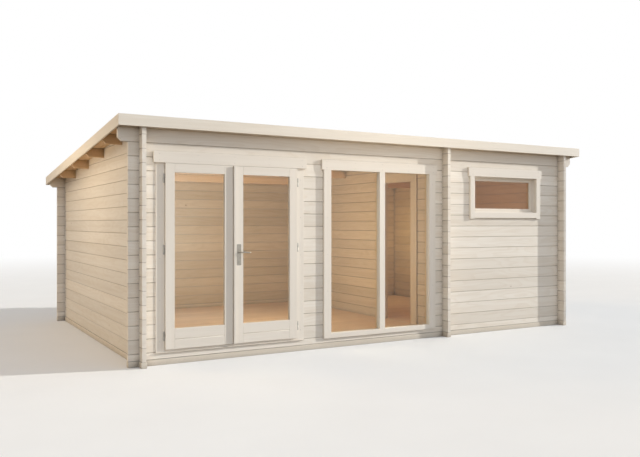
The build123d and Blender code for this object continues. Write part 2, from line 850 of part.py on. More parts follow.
def window_pane(x0, x1, y0, y1, low, high, mode=Mode.ADD):
    """Glass that reaches into grooves all round."""
    block(
        x0 - GLASS_BITE, x1 + GLASS_BITE, y0, y1, low - GLASS_BITE, high + GLASS_BITE, mode
    )


def cut_window_panes():
    """Grooves for both panes of the large window."""
    for x0, x1 in window_panes:
        window_pane(x0, x1, pane_y0, pane_y1, window_glass_low, head_bottom, Mode.SUBTRACT)


with BuildPart() as window_jambs:
    for inner_x, side in ((window_left, -1), (window_right, 1)):
        jamb(
            inner_x, side, WINDOW_CASING, WINDOW_CASING_THICKNESS,
            opening_bottom - WINDOW_BOTTOM_APRON, head_bottom,
        )
        hole = sorted((inner_x, inner_x + side * WINDOW_CASING))
        block(
            *hole, front_y, front_inner_y,
            opening_bottom - WINDOW_BOTTOM_APRON, opening_bottom, Mode.SUBTRACT,
        )
    cut_window_panes()

with BuildPart() as window_frame_rails:
    block(window_left, window_right, front_y, frame_back_y, opening_bottom, window_glass_low)
    block(
        window_left, window_right, front_y - WINDOW_CASING_THICKNESS, front_y,
        opening_bottom - WINDOW_BOTTOM_APRON, window_glass_low,
    )
    block(window_hole_left, window_hole_right, front_y, front_inner_y, head_bottom, opening_top)
    block(
        window_left - WINDOW_CASING, window_right + WINDOW_CASING, front_inner_y, frame_back_y,
        head_bottom, head_board_top,
    )
    cut_window_panes()

with BuildPart() as window_mullion:
    block(
        mullion_x0, mullion_x1, front_y - WINDOW_CASING_THICKNESS, frame_back_y,
        window_glass_low, head_bottom,
    )
    cut_window_panes()

with BuildPart() as window_head_board:
    block(
        window_left - WINDOW_CASING - HEAD_BOARD_OVERHANG,
        window_right + WINDOW_CASING + HEAD_BOARD_OVERHANG,
        front_y - WINDOW_CASING_THICKNESS, front_y, head_bottom, head_board_top,
    )

with BuildPart() as window_glass:
    for x0, x1 in window_panes:
        window_pane(x0, x1, pane_y0, pane_y1, window_glass_low, head_bottom)

# Small window with its sash
small_bottom = small_hole_bottom + SMALL_BOTTOM_RAIL
sash_x0 = small_left + SASH_GAP
sash_x1 = small_right - SASH_GAP
sash_low = small_bottom + SASH_GAP
sash_high = head_bottom - SASH_GAP
sash_y0 = front_y + SASH_SETBACK
sash_y1 = sash_y0 + SASH_THICKNESS
sash_glass = (
    sash_x0 + SASH_STILE, sash_x1 - SASH_STILE,
    sash_y0 + PANE_SETBACK, sash_y0 + PANE_SETBACK + GLASS_THICKNESS,
    sash_low + SASH_RAIL, sash_high - SASH_RAIL,
)
stop_y0 = sash_y0 - SASH_STOP_DEPTH

with BuildPart() as small_window_jambs:
    for inner_x, side in ((small_left, -1), (small_right, 1)):
        jamb(
            inner_x, side, SMALL_CASING, WINDOW_CASING_THICKNESS, small_hole_bottom, head_bottom
        )
        casing = sorted((inner_x, inner_x + side * SMALL_CASING))
        block(
            *casing, front_y - WINDOW_CASING_THICKNESS, front_y,
            small_hole_bottom - SMALL_APRON - SMALL_CASING_DROP, small_hole_bottom,
        )
        stop = sorted((inner_x, inner_x - side * SASH_STOP))
        block(*stop, stop_y0, sash_y0, small_bottom, head_bottom)

with BuildPart() as small_window_frame_rails:
    block(small_left, small_right, front_y, frame_back_y, small_hole_bottom, small_bottom)
    block(
        small_left, small_right, front_y - WINDOW_CASING_THICKNESS, front_y,
        small_hole_bottom - SMALL_APRON, small_bottom,
    )
    for z0, z1 in (
        (small_bottom, small_bottom + SASH_STOP), (head_bottom - SASH_STOP, head_bottom)
    ):
        block(small_left + SASH_STOP, small_right - SASH_STOP, stop_y0, sash_y0, z0, z1)
    block(small_hole_left, small_hole_right, front_y, front_inner_y, head_bottom, opening_top)
    block(
        small_left - SMALL_CASING, small_right + SMALL_CASING, front_inner_y, frame_back_y,
        head_bottom, head_board_top,
    )

with BuildPart() as small_window_head_board:
    block(
        small_left - SMALL_CASING - HEAD_BOARD_OVERHANG,
        small_right + SMALL_CASING + HEAD_BOARD_OVERHANG,
        front_y - WINDOW_CASING_THICKNESS, front_y, head_bottom, head_board_top,
    )

with BuildPart() as small_sash_stiles:
    for x0, x1 in ((sash_x0, sash_x0 + SASH_STILE), (sash_x1 - SASH_STILE, sash_x1)):
        block(x0, x1, sash_y0, sash_y1, sash_low, sash_high)
    window_pane(*sash_glass, Mode.SUBTRACT)

with BuildPart() as small_sash_rails:
    for z0, z1 in ((sash_low, sash_low + SASH_RAIL), (sash_high - SASH_RAIL, sash_high)):
        block(sash_x0 + SASH_STILE, sash_x1 - SASH_STILE, sash_y0, sash_y1, z0, z1)
    window_pane(*sash_glass, Mode.SUBTRACT)

with BuildPart() as small_window_glass:
    window_pane(*sash_glass)

# Labels and files
pieces = {
    "base_long_beams": base_long_beams,
    "base_cross_beams": base_cross_beams,
    "floor_joists": floor_joists,
    "floor_boards": floor_boards,
    "front_sill_log": front_sill_log,
    "front_wall_left": front_wall_left,
    "front_wall_middle": front_wall_middle,
    "front_wall_under_window": front_wall_under_window,
    "front_wall_beside_window": front_wall_beside_window,
    "front_wall_over_openings": front_wall_over_openings,
    "front_top_log": front_top_log,
    "back_wall": back_wall,
    "back_top_log": back_top_log,
    "left_wall": left_wall,
    "right_wall": right_wall,
    "partition_front": partition_front,
    "partition_back": partition_back,
    "partition_over": partition_over,
    "doorway_sides": doorway_sides,
    "doorway_head_and_sill": doorway_head_and_sill,
    "roof_boards": roof_boards,
    "roof_covering": roof_covering,
    "fascia_front": fascia_front,
    "fascia_back": fascia_back,
    "fascia_left": fascia_left,
    "fascia_right": fascia_right,
    "door_jambs": door_jambs,
    "door_frame_head": door_frame_head,
    "door_threshold": door_threshold,
    "door_head_board": door_head_board,
    "left_leaf_stiles": left_leaf_stiles,
    "left_leaf_rails": left_leaf_rails,
    "left_leaf_glass": left_leaf_glass,
    "right_leaf_stiles": right_leaf_stiles,
    "right_leaf_rails": right_leaf_rails,
    "right_leaf_glass": right_leaf_glass,
    "hinge_pins": hinge_pins,
    "left_hinge_knuckles": left_hinge_knuckles,
    "right_hinge_knuckles": right_hinge_knuckles,
    "handle_plates": handle_plates,
    "handle_lever": handle_lever,
    "window_jambs": window_jambs,
    "window_frame_rails": window_frame_rails,
    "window_mullion": window_mullion,
    "window_head_board": window_head_board,
    "window_glass": window_glass,
    "small_window_jambs": small_window_jambs,
    "small_window_frame_rails": small_window_frame_rails,
    "small_window_head_board": small_window_head_board,
    "small_sash_stiles": small_sash_stiles,
    "small_sash_rails": small_sash_rails,
    "small_window_glass": small_window_glass,
}
for number, purlin in enumerate(purlins, start=1):
    pieces[f"purlin_{number}"] = purlin

os.makedirs("parts", exist_ok=True)
for name, piece in pieces.items():
    piece.part.label = name
    export_step(piece.part, f"parts/{name}.step")
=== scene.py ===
import json
import math
import random

import bmesh
import bpy
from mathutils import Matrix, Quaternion, Vector

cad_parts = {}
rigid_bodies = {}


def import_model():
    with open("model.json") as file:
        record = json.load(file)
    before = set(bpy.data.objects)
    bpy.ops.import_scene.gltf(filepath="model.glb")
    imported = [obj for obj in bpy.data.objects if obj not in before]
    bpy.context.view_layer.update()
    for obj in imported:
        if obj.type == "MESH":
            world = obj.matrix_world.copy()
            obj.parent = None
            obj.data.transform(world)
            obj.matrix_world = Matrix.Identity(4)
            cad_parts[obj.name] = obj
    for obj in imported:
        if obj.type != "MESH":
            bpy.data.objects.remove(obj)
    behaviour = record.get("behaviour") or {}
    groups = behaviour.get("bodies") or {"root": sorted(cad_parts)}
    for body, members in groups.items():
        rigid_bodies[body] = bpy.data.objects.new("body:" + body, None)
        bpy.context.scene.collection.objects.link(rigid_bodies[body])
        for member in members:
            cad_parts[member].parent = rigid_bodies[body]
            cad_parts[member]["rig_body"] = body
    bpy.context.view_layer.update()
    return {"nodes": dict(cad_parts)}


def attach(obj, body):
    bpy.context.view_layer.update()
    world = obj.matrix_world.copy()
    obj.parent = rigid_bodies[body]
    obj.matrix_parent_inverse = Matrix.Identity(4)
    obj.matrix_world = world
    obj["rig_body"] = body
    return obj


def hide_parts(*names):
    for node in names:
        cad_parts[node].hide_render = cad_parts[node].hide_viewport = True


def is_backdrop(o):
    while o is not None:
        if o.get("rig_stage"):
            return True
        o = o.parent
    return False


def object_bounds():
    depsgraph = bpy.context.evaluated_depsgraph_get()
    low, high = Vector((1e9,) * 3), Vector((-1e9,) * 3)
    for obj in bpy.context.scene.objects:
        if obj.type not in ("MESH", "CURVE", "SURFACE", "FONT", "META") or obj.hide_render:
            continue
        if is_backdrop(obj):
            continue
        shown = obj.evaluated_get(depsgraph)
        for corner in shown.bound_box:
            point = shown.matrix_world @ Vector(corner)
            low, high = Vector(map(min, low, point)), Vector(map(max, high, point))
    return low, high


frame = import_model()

# Log cabin in pale spruce: finishes, small parts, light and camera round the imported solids.
# Metres. +X runs along the front to the right, +Y to the back, +Z up.

nodes = frame["nodes"]

# Outer faces of the log shell, and how far inside them the mask of the rooms begins
SHELL_X, SHELL_Y = 3.075, 2.025
MASK_INSET = 0.041

# Courses of logs, as the walls have them
LOG_HEIGHT = 0.144
LONG_FIRST_JOINT = 0.132
CROSS_FIRST_JOINT = 0.060
WALL_FOOT = 0.060

# Roof: its slope, and the height of the boards' lower face over the front wall
ROOF_PITCH = math.radians(5.06)
ROOF_SLOPE = math.tan(ROOF_PITCH)
ROOF_TILT = 1 / math.cos(ROOF_PITCH)
ROOF_FRONT = 2.496

# Wood: width of a year's ring, and the order of the coordinates that puts a log's own axis first
RING_WIDTH = 0.0052
ORDERS = {"X": (0, 1, 2), "Y": (1, 0, 2)}


# Node trees


def put(tree, kind, values=None, **settings):
    """One node with its settings, and its inputs set or linked from other nodes' outputs."""
    made = tree.nodes.new("ShaderNode" + kind)
    for name, value in settings.items():
        setattr(made, name, value)
    for name, value in (values or {}).items():
        if isinstance(value, bpy.types.NodeSocket):
            tree.links.new(value, made.inputs[name])
        else:
            made.inputs[name].default_value = value
    return made


def maths(tree, operation, *terms, clamp=False):
    """Result of one sum on numbers or sockets."""
    made = put(tree, "Math", dict(enumerate(terms)), operation=operation, use_clamp=clamp)
    return made.outputs[0]


def vectors(tree, operation, *terms):
    """Result of one sum on vectors."""
    made = put(tree, "VectorMath", dict(enumerate(terms)), operation=operation)
    return made.outputs["Value" if operation in ("LENGTH", "DOT_PRODUCT") else "Vector"]


def ramp(tree, value, low, high, start=0.0, end=1.0):
    """Smooth step of a value from low to high, put out as start to end."""
    values = {"Value": value, "From Min": low, "From Max": high, "To Min": start, "To Max": end}
    return put(tree, "MapRange", values, interpolation_type="SMOOTHSTEP").outputs[0]


def blend(tree, share, first, second):
    """Two colours mixed by a share."""
    made = put(tree, "Mix", {0: share, 6: first, 7: second}, data_type="RGBA")
    return made.outputs[2]


def noise(tree, place, scale=1.0, detail=2.0, roughness=0.5):
    """Soft random value over a place."""
    values = {"Vector": place, "Scale": scale, "Detail": detail, "Roughness": roughness}
    return put(tree, "TexNoise", values).outputs["Fac"]


def stretched(tree, place, along, depth, width):
    """A place scaled differently along, through and across a board."""
    return vectors(tree, "MULTIPLY", place, (along, depth, width))


def effect(name, inputs, outputs):
    """A new node group with named inputs and outputs, and its two end nodes."""
    tree = bpy.data.node_groups.new(name, "ShaderNodeTree")
    for label, kind, value in inputs:
        socket = tree.interface.new_socket(label, in_out="INPUT", socket_type="NodeSocket" + kind)
        socket.default_value = value
    for label, kind in outputs:
        tree.interface.new_socket(label, in_out="OUTPUT", socket_type="NodeSocket" + kind)
    start = tree.nodes.new("NodeGroupInput")
    end = tree.nodes.new("NodeGroupOutput")
    return tree, start.outputs, end.inputs


def use(tree, group, values):
    """One use of a node group in a material."""
    return put(tree, "Group", values, node_tree=group).outputs


def make_spruce():
    """Sawn spruce: streaks, growth rings, knots and fibres, different on every board."""
    tree, given, out = effect(
        "spruce",
        [
            ("Place", "Vector", (0, 0, 0)), ("Board", "Float", 0.5),
            ("Pale", "Color", (0.8, 0.7, 0.6, 1)), ("Deep", "Color", (0.6, 0.45, 0.3, 1)),
            ("Knot", "Color", (0.25, 0.13, 0.06, 1)), ("Figure", "Float", 1.0),
            ("Knottiness", "Float", 0.1), ("Spread", "Float", 0.1),
        ],
        [("Color", "Color"), ("Roughness", "Float"), ("Height", "Float")],
    )
    board = given["Board"]
    shift = put(tree, "CombineXYZ", {
        "X": maths(tree, "MULTIPLY", board, 31.0),
        "Y": maths(tree, "MULTIPLY", board, 7.3),
        "Z": maths(tree, "MULTIPLY", board, 13.7),
    }).outputs[0]
    place = vectors(tree, "ADD", given["Place"], shift)

    cells = put(tree, "TexVoronoi", {
        "Vector": stretched(tree, place, 5.5, 0.6, 5.5), "Scale": 1.0, "Randomness": 0.9,
    })
    pick = put(tree, "SeparateColor", {"Color": cells.outputs["Color"]}).outputs
    chosen = maths(tree, "LESS_THAN", pick[0], given["Knottiness"])
    size = maths(tree, "MULTIPLY_ADD", pick[1], 0.05, 0.035)
    apart = maths(tree, "DIVIDE", cells.outputs["Distance"], size)
    knot = maths(tree, "MULTIPLY", chosen, ramp(tree, apart, 1.15, 0.85))
    heart = maths(tree, "MULTIPLY", chosen, ramp(tree, apart, 0.75, 0.2))
    bend = maths(tree, "MULTIPLY", chosen, ramp(tree, apart, 4.5, 0.8, 0.0, 0.014))

    def own(factor, reach, start):
        """A value of the board's own, between start and start plus reach."""
        part = maths(tree, "FRACT", maths(tree, "MULTIPLY", board, factor))
        return maths(tree, "MULTIPLY_ADD", part, reach, start)

    # Growth rings round a pith that lies beside the board
    pith = put(tree, "CombineXYZ", {"Y": own(71.3, 0.08, 0.01), "Z": own(37.7, 0.16, -0.08)})
    across = vectors(tree, "ADD", given["Place"], pith.outputs[0])
    radius = vectors(tree, "LENGTH", vectors(tree, "MULTIPLY", across, (0, 1, 1)))
    wobble = noise(tree, stretched(tree, place, 0.8, 5.0, 5.0))
    radius = maths(tree, "MULTIPLY_ADD", wobble, 0.05, radius)
    radius = maths(tree, "ADD", radius, bend)
    year = maths(tree, "FRACT", maths(tree, "DIVIDE", radius, RING_WIDTH))
    late = maths(tree, "MULTIPLY", ramp(tree, year, 0.35, 0.85), ramp(tree, year, 1.0, 0.93))

    streak = noise(tree, stretched(tree, place, 0.5, 9.0, 16.0), detail=4.0, roughness=0.62)
    streak = ramp(tree, streak, 0.38, 0.68)
    patch = ramp(tree, noise(tree, stretched(tree, place, 0.7, 2.0, 3.0)), 0.35, 0.7)
    fibre = noise(tree, stretched(tree, place, 12.0, 420.0, 420.0))

    dark = 0.0
    for part, share in ((streak, 0.42), (late, 0.30), (patch, 0.14), (fibre, 0.10)):
        dark = maths(tree, "MULTIPLY_ADD", part, share, dark)
    dark = maths(tree, "MULTIPLY", dark, given["Figure"], clamp=True)
    colour = blend(tree, dark, given["Pale"], given["Deep"])

    number = maths(tree, "MULTIPLY", board, 917.0)
    dice = put(tree, "TexWhiteNoise", {"W": number}, noise_dimensions="1D")
    throw = put(tree, "SeparateColor", {"Color": dice.outputs["Color"]}).outputs
    tone = maths(tree, "SUBTRACT", throw[0], 0.5)
    tone = maths(tree, "MULTIPLY_ADD", tone, given["Spread"], 1.0)
    colour = vectors(tree, "SCALE", colour)
    tree.links.new(tone, colour.node.inputs["Scale"])
    ripe = maths(tree, "MULTIPLY", throw[1], maths(tree, "MULTIPLY", given["Spread"], 1.6))
    colour = blend(tree, ripe, colour, given["Deep"])
    colour = blend(tree, maths(tree, "MULTIPLY", knot, 0.55), colour, given["Knot"])
    colour = blend(tree, maths(tree, "MULTIPLY", heart, 0.35), colour, given["Knot"])
    tree.links.new(colour, out["Color"])

    gloss = maths(tree, "MULTIPLY_ADD", fibre, 0.16, 0.50)
    gloss = maths(tree, "MULTIPLY_ADD", late, -0.08, gloss)
    tree.links.new(maths(tree, "MULTIPLY_ADD", knot, -0.12, gloss), out["Roughness"])
    height = maths(tree, "MULTIPLY", late, 0.5)
    height = maths(tree, "MULTIPLY_ADD", fibre, 0.5, height)
    tree.links.new(maths(tree, "MULTIPLY_ADD", knot, 0.5, height), out["Height"])
    return tree


def make_courses():
    """Splits a wall into its logs: the place within the log, its own number and its joints."""
    tree, given, out = effect(
        "log_courses",
        [("Place", "Vector", (0, 0, 0)), ("First Joint", "Float", 0.0), ("Wall", "Float", 0.0)],
        [("Place", "Vector"), ("Board", "Float"), ("Joint", "Float")],
    )
    parts = put(tree, "SeparateXYZ", {0: given["Place"]}).outputs
    level = maths(tree, "SUBTRACT", parts[2], given["First Joint"])
    level = maths(tree, "DIVIDE", level, LOG_HEIGHT)
    course = maths(tree, "FLOOR", level)
    within = maths(tree, "SUBTRACT", maths(tree, "FRACT", level), 0.5)
    within = maths(tree, "MULTIPLY", within, LOG_HEIGHT)
    place = put(tree, "CombineXYZ", {"X": parts[0], "Y": parts[1], "Z": within}).outputs[0]
    key = put(tree, "CombineXYZ", {"X": course, "Y": given["Wall"], "Z": 3.0}).outputs[0]
    dice = put(tree, "TexWhiteNoise", {"Vector": key}, noise_dimensions="3D").outputs["Value"]
    edge = maths(tree, "SUBTRACT", LOG_HEIGHT / 2, maths(tree, "ABSOLUTE", within))
    edge = maths(tree, "MINIMUM", edge, maths(tree, "SUBTRACT", parts[2], WALL_FOOT))
    tree.links.new(place, out["Place"])
    tree.links.new(dice, out["Board"])
    tree.links.new(ramp(tree, edge, 0.0045, 0.001), out["Joint"])
    return tree


def make_indoors():
    """Mask of the surfaces inside the walls."""
    tree, given, out = effect("indoors", [("Place", "Vector", (0, 0, 0))], [("Inside", "Float")])
    parts = put(tree, "SeparateXYZ", {0: given["Place"]}).outputs
    across = maths(tree, "LESS_THAN", maths(tree, "ABSOLUTE", parts[0]), SHELL_X - MASK_INSET)
    through = maths(tree, "LESS_THAN", maths(tree, "ABSOLUTE", parts[1]), SHELL_Y - MASK_INSET)
    tree.links.new(maths(tree, "MULTIPLY", across, through), out["Inside"])
    return tree


def make_splashes():
    """Mask of the dirt that rain throws up at the lowest timbers."""
    tree, given, out = effect("splashes", [("Place", "Vector", (0, 0, 0))], [("Dirt", "Float")])
    height = put(tree, "SeparateXYZ", {0: given["Place"]}).outputs[2]
    edge = maths(tree, "MULTIPLY_ADD", noise(tree, given["Place"], 4.0, 4.0), 0.34, -0.06)
    low = ramp(tree, maths(tree, "SUBTRACT", height, edge), 0.06, -0.06)
    specks = ramp(tree, noise(tree, given["Place"], 60.0, 3.0), 0.45, 0.7)
    dirt = maths(tree, "MULTIPLY", low, maths(tree, "MULTIPLY_ADD", specks, 0.5, 0.5))
    tree.links.new(dirt, out["Dirt"])
    return tree


def make_painted_crevice_shade():
    """Painted shade: darkens the narrow places between boards, the corners and the hollows under
    parts, where less light reaches.
    """
    tree, given, out = effect("painted_crevice_shade", [("Reach", "Float", 0.12)], [("Shade", "Float")])
    openness = put(tree, "AmbientOcclusion", {"Distance": given["Reach"]}, samples=6)
    tree.links.new(ramp(tree, openness.outputs["AO"], 0.62, 0.25), out["Shade"])
    return tree


SPRUCE = make_spruce()
COURSES = make_courses()
INDOORS = make_indoors()
SPLASHES = make_splashes()
PAINTED_CREVICE_SHADE = make_painted_crevice_shade()


def finish_named(name):
    """A new material with only its Principled shader."""
    made = bpy.data.materials.new(name)
    made.use_nodes = True
    return made, made.node_tree, made.node_tree.nodes["Principled BSDF"].inputs


def relieved(tree, shader, height, strength, distance):
    """Fine relief on a surface."""
    relief = put(tree, "Bump", {"Height": height, "Strength": strength, "Distance": distance})
    tree.links.new(relief.outputs[0], shader["Normal"])


def object_place(tree):
    """Place on the object, in metres."""
    return put(tree, "TexCoord").outputs["Object"]


def wood(
    name, pale, deep, logs=None, inside=None,
    figure=0.6, knottiness=0.07, spread=0.1, crevice_shade=0.7,
):
    """A wood finish, with painted shade inside the rooms where room colours are given.

    Boards carry their own grain and number. Walls get them from their logs: logs is the axis that
    they run along, the height of their first joint and the wall's number.
    """
    made, tree, shader = finish_named(name)
    place = object_place(tree)
    if logs:
        axis, first_joint, wall = logs
        parts = put(tree, "SeparateXYZ", {0: place}).outputs
        along = put(tree, "CombineXYZ", {n: parts[k] for n, k in enumerate(ORDERS[axis])})
        course = use(tree, COURSES, {
            "Place": along.outputs[0], "First Joint": first_joint, "Wall": wall,
        })
        grain_place, board = course["Place"], course["Board"]
    else:
        grain_place = put(tree, "Attribute", attribute_name="grain").outputs["Vector"]
        board = put(tree, "Attribute", attribute_name="board").outputs["Fac"]
    pale, deep = (*pale, 1), (*deep, 1)
    # Painted shade: inside the rooms the wood takes darker, warmer colours, standing in for the
    # rooms' dimmer, warmer light.
    if inside:
        indoors = use(tree, INDOORS, {"Place": place})["Inside"]
        pale = blend(tree, indoors, pale, (*inside[0], 1))
        deep = blend(tree, indoors, deep, (*inside[1], 1))
    grain = use(tree, SPRUCE, {
        "Place": grain_place, "Board": board, "Pale": pale, "Deep": deep,
        "Figure": figure, "Knottiness": knottiness, "Spread": spread,
    })
    colour = grain["Color"]
    if logs:
        depth = maths(tree, "MULTIPLY_ADD", indoors, 0.40, 0.50)
        colour = blend(tree, maths(tree, "MULTIPLY", course["Joint"], depth), colour, JOINT_SHADE)
    dirt = use(tree, SPLASHES, {"Place": place})["Dirt"]
    colour = blend(tree, maths(tree, "MULTIPLY", dirt, 0.06), colour, SPLASH_BROWN)
    # Painted shade: the wood is darkened towards a brown in crevices, corners and recesses, by
    # how shut in each point is.
    shade = use(tree, PAINTED_CREVICE_SHADE, {"Reach": 0.12})["Shade"]
    colour = blend(tree, maths(tree, "MULTIPLY", shade, crevice_shade), colour, PAINTED_SHADE_BROWN)
    tree.links.new(colour, shader["Base Color"])
    rough = maths(tree, "MULTIPLY_ADD", dirt, 0.2, grain["Roughness"])
    tree.links.new(rough, shader["Roughness"])
    shader["Specular IOR Level"].default_value = 0.3
    relieved(tree, shader, grain["Height"], 0.25, 0.0012)
    return made


def steel(name, colour, roughness, along):
    """Brushed steel with rubbed and dull places."""
    made, tree, shader = finish_named(name)
    shader["Metallic"].default_value = 1.0
    place = object_place(tree)
    brushed = noise(tree, vectors(tree, "MULTIPLY", place, along), detail=3.0)
    dull = ramp(tree, noise(tree, place, 26.0, 4.0), 0.4, 0.7)
    dark = tuple(c * 0.72 for c in colour)
    share = maths(tree, "MULTIPLY_ADD", brushed, 0.5, maths(tree, "MULTIPLY", dull, 0.4))
    tree.links.new(blend(tree, share, (*colour, 1), (*dark, 1)), shader["Base Color"])
    rough = maths(tree, "MULTIPLY_ADD", brushed, 0.14, roughness)
    tree.links.new(maths(tree, "MULTIPLY_ADD", dull, 0.12, rough), shader["Roughness"])
    relieved(tree, shader, brushed, 0.1, 0.0002)
    return made


def make_glass():
    """Clear panes with a trace of dust, which let the lamps through."""
    made, tree, shader = finish_named("clear_glass")
    shader["IOR"].default_value = 1.45
    shader["Transmission Weight"].default_value = 1.0
    place = object_place(tree)
    dust = ramp(tree, noise(tree, place, 3.0, 5.0, 0.6), 0.42, 0.75)
    clear, dusty = (0.97, 0.985, 0.975, 1), (0.93, 0.945, 0.93, 1)
    tree.links.new(blend(tree, dust, clear, dusty), shader["Base Color"])
    tree.links.new(maths(tree, "MULTIPLY", dust, 0.02), shader["Roughness"])
    surface = tree.nodes["Principled BSDF"].outputs[0]
    path = put(tree, "LightPath").outputs
    through = put(tree, "BsdfTransparent", {"Color": (0.93, 0.95, 0.94, 1)}).outputs[0]
    mixed = put(tree, "MixShader", {0: path["Is Shadow Ray"], 1: surface, 2: through})
    tree.links.new(mixed.outputs[0], tree.nodes["Material Output"].inputs["Surface"])
    return made


def make_felt():
    """Bitumen felt with mineral grit."""
    made, tree, shader = finish_named("roof_felt")
    place = object_place(tree)
    grit = put(tree, "TexVoronoi", {"Vector": place, "Scale": 700.0}).outputs
    grain = put(tree, "SeparateColor", {"Color": grit["Color"]}).outputs[0]
    worn = ramp(tree, noise(tree, place, 1.7, 6.0, 0.6), 0.35, 0.7)
    colour = blend(tree, grain, (0.055, 0.057, 0.060, 1), (0.14, 0.142, 0.145, 1))
    colour = blend(tree, maths(tree, "MULTIPLY", worn, 0.35), colour, (0.17, 0.165, 0.155, 1))
    tree.links.new(colour, shader["Base Color"])
    tree.links.new(maths(tree, "MULTIPLY_ADD", worn, 0.08, 0.86), shader["Roughness"])
    shader["Specular IOR Level"].default_value = 0.25
    relieved(tree, shader, grit["Distance"], 0.5, 0.0008)
    return made


# Finishes
JOINT_SHADE = (0.20, 0.135, 0.085, 1)
SPLASH_BROWN = (0.30, 0.25, 0.20, 1)
# Brown towards which crevices and corners are darkened, as painted shade
PAINTED_SHADE_BROWN = (0.12, 0.09, 0.06, 1)
PALE = (0.87, 0.81, 0.725)
DEEP = (0.69, 0.585, 0.46)
# Darker, warmer wood colours inside the rooms: painted shade of the rooms' dimmer, warmer light
ROOM_SHADED_PALE = (0.66, 0.52, 0.345)
ROOM_SHADED_DEEP = (0.48, 0.345, 0.19)
ROOM_SHADE_COLOURS = (ROOM_SHADED_PALE, ROOM_SHADED_DEEP)
FINE = {"figure": 0.4, "knottiness": 0.02, "spread": 0.05}

log_long = wood("log_wood_long", PALE, DEEP, ("X", LONG_FIRST_JOINT, 1.0), ROOM_SHADE_COLOURS, spread=0.12)
log_cross = wood("log_wood_cross", PALE, DEEP, ("Y", CROSS_FIRST_JOINT, 2.0), ROOM_SHADE_COLOURS, spread=0.13)
base_wood = wood("base_wood", (0.80, 0.73, 0.63), (0.62, 0.52, 0.40), spread=0.12)
joinery = wood(
    "joinery_wood", (0.85, 0.785, 0.695), (0.71, 0.61, 0.50), inside=ROOM_SHADE_COLOURS, crevice_shade=0.12, **FINE,
)
sash_wood = wood("sash_wood", (0.82, 0.74, 0.64), (0.68, 0.57, 0.45), crevice_shade=0.3, **FINE)
fascia_wood = wood(
    "fascia_wood", (0.83, 0.765, 0.67), (0.67, 0.57, 0.44),
    figure=0.5, knottiness=0.05, spread=0.06,
)
roof_wood = wood(
    "roof_wood", (0.74, 0.53, 0.33), (0.56, 0.35, 0.18),
    figure=0.7, knottiness=0.10, spread=0.14,
)
floor_wood = wood(
    "floor_wood", (0.68, 0.49, 0.31), (0.52, 0.34, 0.19),
    figure=0.7, knottiness=0.09, spread=0.12,
)
hinge_steel = steel("hinge_steel", (0.53, 0.51, 0.475), 0.55, (60, 60, 900))
handle_steel = steel("handle_steel", (0.43, 0.40, 0.35), 0.28, (60, 900, 900))
clear_glass = make_glass()
roof_felt = make_felt()


# Pieces


def rounded(bm, width, sharper=30.0):
    """Takes the corners off every edge that is sharper than an angle."""
    edges = [
        e for e in bm.edges
        if len(e.link_faces) == 2 and e.calc_face_angle() > math.radians(sharper)
    ]
    made = bmesh.ops.bevel(
        bm, geom=edges, offset=width, offset_type="OFFSET", segments=2, profile=0.5,
        affect="EDGES", clamp_overlap=True,
    )
    for face in made["faces"]:
        face.smooth = True


def loose_parts(bm):
    """The corners of each part that hangs together."""
    left = set(bm.verts)
    while left:
        part, edge = set(), {next(iter(left))}
        while edge:
            part |= edge
            edge = {e.other_vert(v) for v in edge for e in v.link_edges} - part
        left -= part
        yield part


def give_grain(bm, name):
    """Writes each board's own grain direction and number on its corners."""
    grain = bm.verts.layers.float_vector.new("grain")
    board = bm.verts.layers.float.new("board")
    bm.verts.ensure_lookup_table()
    bm.verts.index_update()
    dice = random.Random(name)
    for part in sorted(loose_parts(bm), key=lambda p: min(v.index for v in p)):
        low = [min(v.co[k] for v in part) for k in range(3)]
        high = [max(v.co[k] for v in part) for k in range(3)]
        depth, width, along = sorted(range(3), key=lambda k: high[k] - low[k])
        number, turn = dice.random(), dice.choice((-1, 1))
        middle = [(low[k] + high[k]) / 2 for k in range(3)]
        for v in part:
            away = [v.co[k] - middle[k] for k in range(3)]
            v[grain] = (away[along], away[depth] * turn, away[width])
            v[board] = number


def piece(name, bm, finish, body, replaced=(), grained=True):
    """Turns a finished bmesh into a piece on a body."""
    bmesh.ops.recalc_face_normals(bm, faces=bm.faces)
    if grained:
        give_grain(bm, name)
    mesh = bpy.data.meshes.new(name)
    bm.to_mesh(mesh)
    bm.free()
    mesh.materials.append(finish)
    made = bpy.data.objects.new(name, mesh)
    bpy.context.scene.collection.objects.link(made)
    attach(made, body)
    if replaced:
        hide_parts(*replaced)
    return made


def dressed(node, finish, width=0.0015, drawn_back=0.0):
    """A CAD solid's own shape with its corners taken off, and its ends a little drawn back."""
    solid = nodes[node]
    bm = bmesh.new()
    bm.from_mesh(solid.data)
    bmesh.ops.remove_doubles(bm, verts=bm.verts, dist=1e-5)
    bmesh.ops.dissolve_limit(bm, angle_limit=math.radians(1), verts=bm.verts, edges=bm.edges)
    for face in bm.faces:
        face.smooth = False
    if drawn_back:
        for part in loose_parts(bm):
            middle = (min(v.co.x for v in part) + max(v.co.x for v in part)) / 2
            for v in part:
                v.co.x -= math.copysign(drawn_back, v.co.x - middle)
    rounded(bm, width)
    return piece(node + "_boards", bm, finish, solid["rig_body"], [node])


def skin(bm, rings, smooth=False):
    """Closes a row of rings of corners into one solid."""
    bm.faces.new(rings[0])
    bm.faces.new(rings[-1])
    for here, there in zip(rings, rings[1:]):
        for n in range(len(here)):
            m = (n + 1) % len(here)
            bm.faces.new((here[n], here[m], there[m], there[n])).smooth = smooth


def prism(bm, axis, start, end, profile):
    """A straight bar with a section, along one axis from start to end."""
    def corner(a, u, v):
        return {"X": (a, u, v), "Y": (u, a, v)}[axis]

    rings = [[bm.verts.new(corner(a, u, v)) for u, v in profile] for a in (start, end)]
    skin(bm, rings)
    return rings


def bar(bm, low, high):
    """A straight board between two corners."""
    (x0, y0, z0), (x1, y1, z1) = low, high
    prism(bm, "X", x0, x1, [(y0, z0), (y1, z0), (y1, z1), (y0, z1)])


